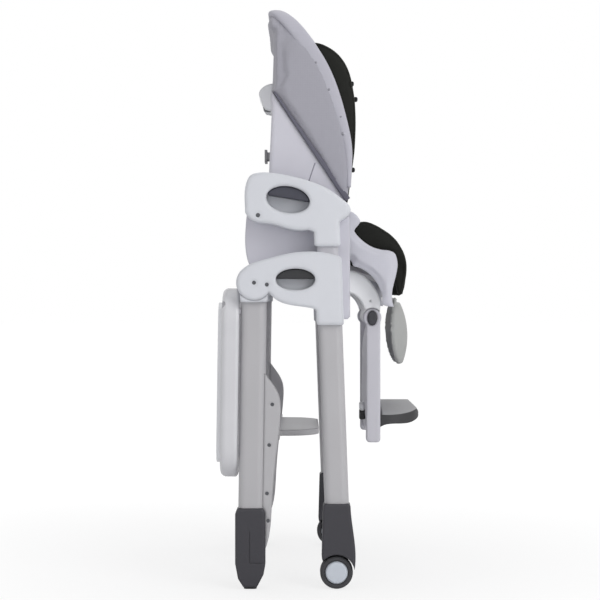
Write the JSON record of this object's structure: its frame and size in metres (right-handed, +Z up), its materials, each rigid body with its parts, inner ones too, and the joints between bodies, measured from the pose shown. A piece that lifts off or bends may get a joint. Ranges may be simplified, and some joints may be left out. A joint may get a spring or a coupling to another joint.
{
  "type": "baby high chair",
  "caption": "Folding baby high chair with padded reclining seat, height-adjusting armrests, leg rest, footplate, stored tray and front wheels.",
  "frame": {"origin": "on the floor under the middle of the folded chair", "axes": "+Z up, +X towards the front of the chair, Y across it"},
  "size_m": [0.3778, 0.536, 1.061],
  "materials": {
    "leg_paint": "satin",
    "inner_tube": "satin",
    "frame_plastic": "satin",
    "foot_plastic": "matte",
    "pad_rubber": "matte",
    "wheel_tyre": "matte",
    "wheel_cap": "satin",
    "trigger_plastic": "matte",
    "lever_plastic": "matte",
    "screw_steel": "brushed",
    "panel_plastic": "satin",
    "pan_plastic": "satin",
    "cover_fabric": "woven",
    "cushion_fabric": "woven",
    "webbing": "woven",
    "buckle_plastic": "matte",
    "button_plastic": "satin",
    "rest_plastic": "satin",
    "plate_plastic": "matte",
    "flap_sheet": "matte",
    "tray_plastic": "gloss",
    "insert_plastic": "gloss"
  },
  "bodies": {
    "front_frame": {"front_leg_right": "leg_paint", "front_leg_left": "leg_paint", "hub_right": "frame_plastic", "hub_left": "frame_plastic", "hub_screws": "screw_steel", "fold_pins": "screw_steel", "front_foot_right": "foot_plastic", "front_foot_left": "foot_plastic", "front_crossbar": "leg_paint", "wheel_axles": "screw_steel"},
    "rear_frame": {"rear_leg_right": "leg_paint", "rear_leg_left": "leg_paint", "rear_cap_right": "frame_plastic", "rear_cap_left": "frame_plastic", "rear_foot_right": "foot_plastic", "rear_foot_left": "foot_plastic", "rear_pads": "pad_rubber", "rear_brace": "leg_paint", "brace_screws": "screw_steel", "tray_pegs": "pan_plastic"},
    "wheel_right": {"tyre_right": "wheel_tyre", "wheel_hub_right": "wheel_cap"},
    "wheel_left": {"tyre_left": "wheel_tyre", "wheel_hub_left": "wheel_cap"},
    "fold_trigger_right": {"fold_trigger_right": "trigger_plastic"},
    "fold_trigger_left": {"fold_trigger_left": "trigger_plastic"},
    "seat_carriage": {"armrest_right": "frame_plastic", "armrest_left": "frame_plastic", "armrest_screws": "screw_steel", "side_panel_right": "panel_plastic", "side_panel_left": "panel_plastic", "height_tube_right": "inner_tube", "height_tube_left": "inner_tube", "seat_pan": "pan_plastic", "seat_yoke": "frame_plastic", "leg_rest_pins": "screw_steel", "seat_cover": "cover_fabric", "seat_cushion": "cushion_fabric", "buckle": "buckle_plastic", "crotch_strap": "webbing"},
    "buckle_button": {"buckle_button": "button_plastic"},
    "height_lever_right": {"height_lever_right": "lever_plastic"},
    "height_lever_left": {"height_lever_left": "lever_plastic"},
    "backrest": {"back_shell": "panel_plastic", "back_hood": "cover_fabric", "back_cushion": "cushion_fabric", "shoulder_straps": "webbing", "recline_handle": "frame_plastic", "strap_slider": "frame_plastic"},
    "recline_trigger": {"recline_trigger": "trigger_plastic"},
    "leg_rest": {"leg_rest": "rest_plastic"},
    "leg_rest_button_right": {"leg_rest_button_right": "lever_plastic"},
    "leg_rest_button_left": {"leg_rest_button_left": "lever_plastic"},
    "calf_flap": {"calf_flap": "flap_sheet"},
    "footplate": {"footplate": "plate_plastic"},
    "footplate_latch": {"footplate_latch": "frame_plastic"},
    "tray": {"tray": "tray_plastic", "tray_insert": "insert_plastic"}
  },
  "joints": [
    {"name": "fold", "type": "hinge", "parent": "front_frame", "child": "rear_frame", "pos_m": [-0.1182, 0, 0.55], "axis": [0, 1, 0], "range_deg": [0, 38]},
    {"name": "seat_height", "type": "slide", "parent": "front_frame", "child": "seat_carriage", "axis": [-0.0366, 0, 0.9993], "range_m": [0, 0.18]},
    {"name": "wheel_right_spin", "type": "hinge", "parent": "front_frame", "child": "wheel_right", "pos_m": [0.02989, -0.247, 0.0295], "axis": [0, 1, 0], "continuous": true},
    {"name": "wheel_left_spin", "type": "hinge", "parent": "front_frame", "child": "wheel_left", "pos_m": [0.02989, 0.247, 0.0295], "axis": [0, 1, 0], "continuous": true},
    {"name": "fold_trigger_right_squeeze", "type": "slide", "parent": "front_frame", "child": "fold_trigger_right", "axis": [0, 0, 1], "range_m": [0, 0.006], "stiffness_N_per_m": 400},
    {"name": "fold_trigger_left_squeeze", "type": "slide", "parent": "front_frame", "child": "fold_trigger_left", "axis": [0, 0, 1], "range_m": [0, 0.006], "stiffness_N_per_m": 400},
    {"name": "height_lever_right_squeeze", "type": "slide", "parent": "seat_carriage", "child": "height_lever_right", "axis": [0.165, 0, 0.9863], "range_m": [0, 0.006], "stiffness_N_per_m": 400},
    {"name": "height_lever_left_squeeze", "type": "slide", "parent": "seat_carriage", "child": "height_lever_left", "axis": [0.165, 0, 0.9863], "range_m": [0, 0.006], "stiffness_N_per_m": 400},
    {"name": "recline", "type": "hinge", "parent": "seat_carriage", "child": "backrest", "pos_m": [-0.0548, 0, 0.66], "axis": [0, -1, 0], "range_deg": [0, 30]},
    {"name": "recline_trigger_squeeze", "type": "slide", "parent": "backrest", "child": "recline_trigger", "axis": [0, 0, 1], "range_m": [0, 0.008], "stiffness_N_per_m": 400},
    {"name": "leg_rest_lift", "type": "hinge", "parent": "seat_carriage", "child": "leg_rest", "pos_m": [0.0993, 0, 0.4862], "axis": [0, -1, 0], "range_deg": [0, 65]},
    {"name": "calf_flap_lift", "type": "hinge", "parent": "seat_carriage", "child": "calf_flap", "pos_m": [0.1462, 0, 0.52104], "axis": [0, -1, 0], "range_deg": [0, 65]},
    {"name": "leg_rest_button_right_press", "type": "slide", "parent": "leg_rest", "child": "leg_rest_button_right", "axis": [0, 1, 0], "range_m": [0, 0.004], "stiffness_N_per_m": 400},
    {"name": "leg_rest_button_left_press", "type": "slide", "parent": "leg_rest", "child": "leg_rest_button_left", "axis": [0, -1, 0], "range_m": [0, 0.004], "stiffness_N_per_m": 400},
    {"name": "footplate_height", "type": "slide", "parent": "leg_rest", "child": "footplate", "axis": [0, 0, 1], "range_m": [-0.018, 0]},
    {"name": "footplate_latch_lift", "type": "slide", "parent": "footplate", "child": "footplate_latch", "axis": [0, 0, 1], "range_m": [0, 0.004], "stiffness_N_per_m": 400},
    {"name": "tray_unhook", "type": "slide", "parent": "rear_frame", "child": "tray", "axis": [-0.9346, 0, 0.3556], "range_m": [0, 0.2]},
    {"name": "buckle_button_press", "type": "slide", "parent": "seat_carriage", "child": "buckle_button", "axis": [-0.3338, 0, -0.9426], "range_m": [0, 0.002], "stiffness_N_per_m": 400}
  ],
  "couplings": [
    {"joint": "calf_flap_lift", "follows": "leg_rest_lift", "ratio": 1}
  ]
}
